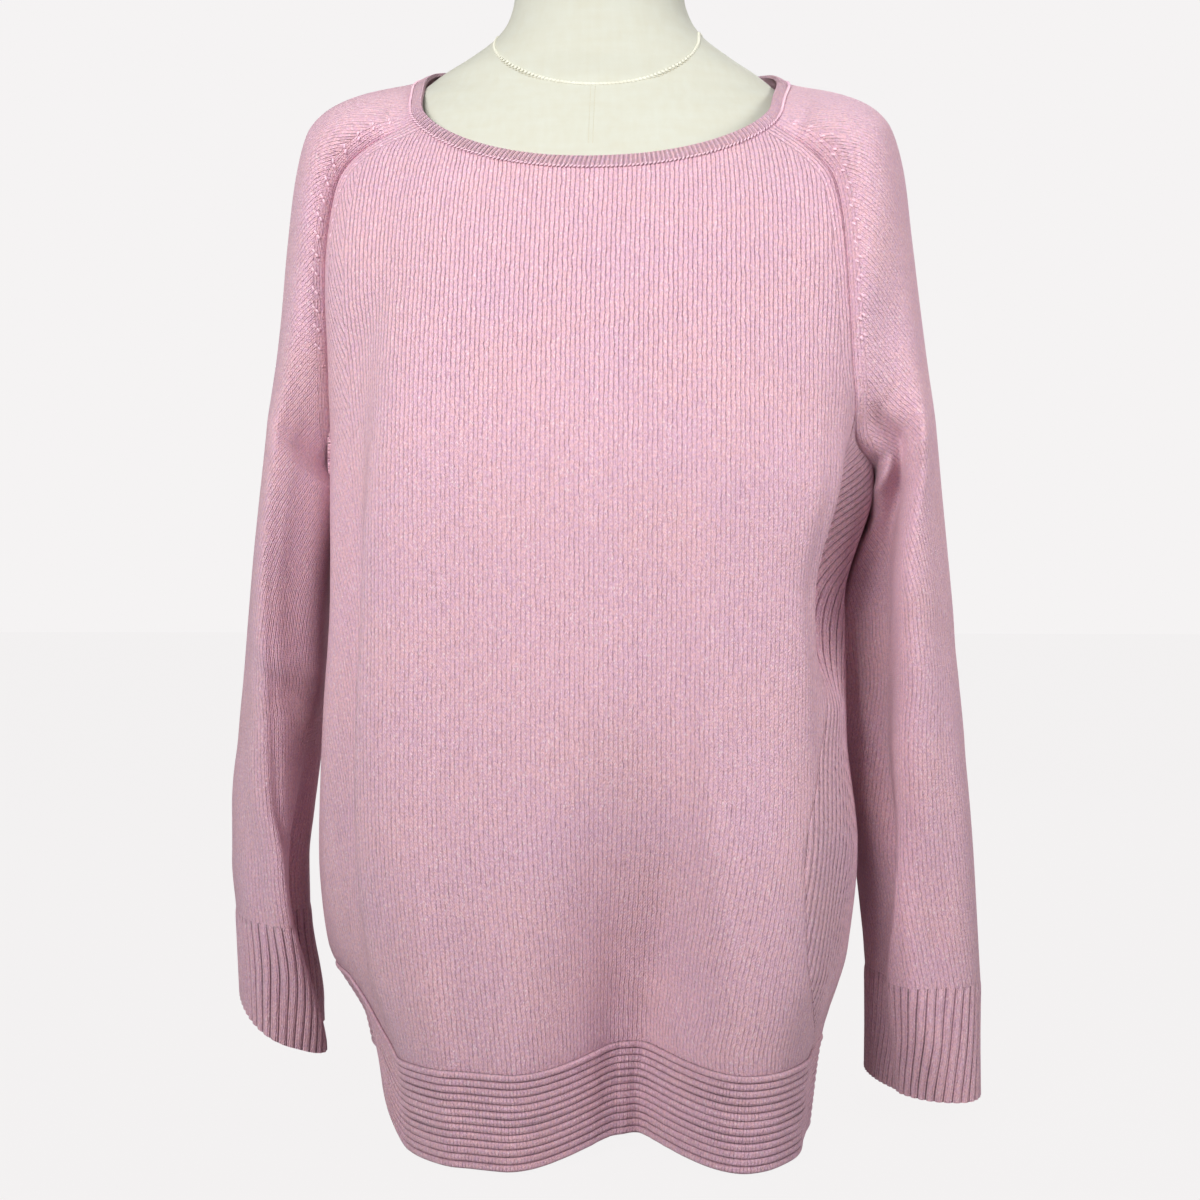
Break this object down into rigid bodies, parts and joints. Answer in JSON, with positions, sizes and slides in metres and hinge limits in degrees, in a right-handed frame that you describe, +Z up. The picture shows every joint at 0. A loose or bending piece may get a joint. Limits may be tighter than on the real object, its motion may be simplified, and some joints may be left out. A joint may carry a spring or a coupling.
{
  "type": "sweater on dress form",
  "caption": "Raglan-sleeved knitted sweater with ribbed side panels, ridged hem band, ribbed cuffs and a narrow neckband, worn by a limbless dress form on a plain base.",
  "frame": {"origin": "middle of the underside of the form's base, on the surface it stands on", "axes": "+Z up, -Y the way the wearer faces, +X to the viewer's right when seen from the front"},
  "size_m": [0.4705, 0.2379, 0.7254],
  "materials": {
    "front_panel": "soft knitted cashmere, pale pink",
    "back_panel": "soft knitted cashmere, pale pink",
    "side_panel_right": "soft knitted cashmere, pale pink",
    "side_panel_left": "soft knitted cashmere, pale pink",
    "sleeve_right": "soft knitted cashmere, pale pink",
    "sleeve_left": "soft knitted cashmere, pale pink",
    "cuff_right": "soft knitted cashmere, pale pink",
    "cuff_left": "soft knitted cashmere, pale pink",
    "hem_band": "soft knitted cashmere, pale pink",
    "neckband": "soft knitted cashmere, pale pink",
    "form_torso": "smooth cream linen stretched over the form",
    "form_neck_cap": "plain off-white cap",
    "form_base": "plain satin wood"
  },
  "bodies": {
    "root": {"front_panel": "front_panel", "back_panel": "back_panel", "side_panel_right": "side_panel_right", "side_panel_left": "side_panel_left", "sleeve_right": "sleeve_right", "sleeve_left": "sleeve_left", "cuff_right": "cuff_right", "cuff_left": "cuff_left", "hem_band": "hem_band", "neckband": "neckband", "form_torso": "form_torso", "form_neck_cap": "form_neck_cap", "form_base": "form_base"}
  },
  "joints": []
}
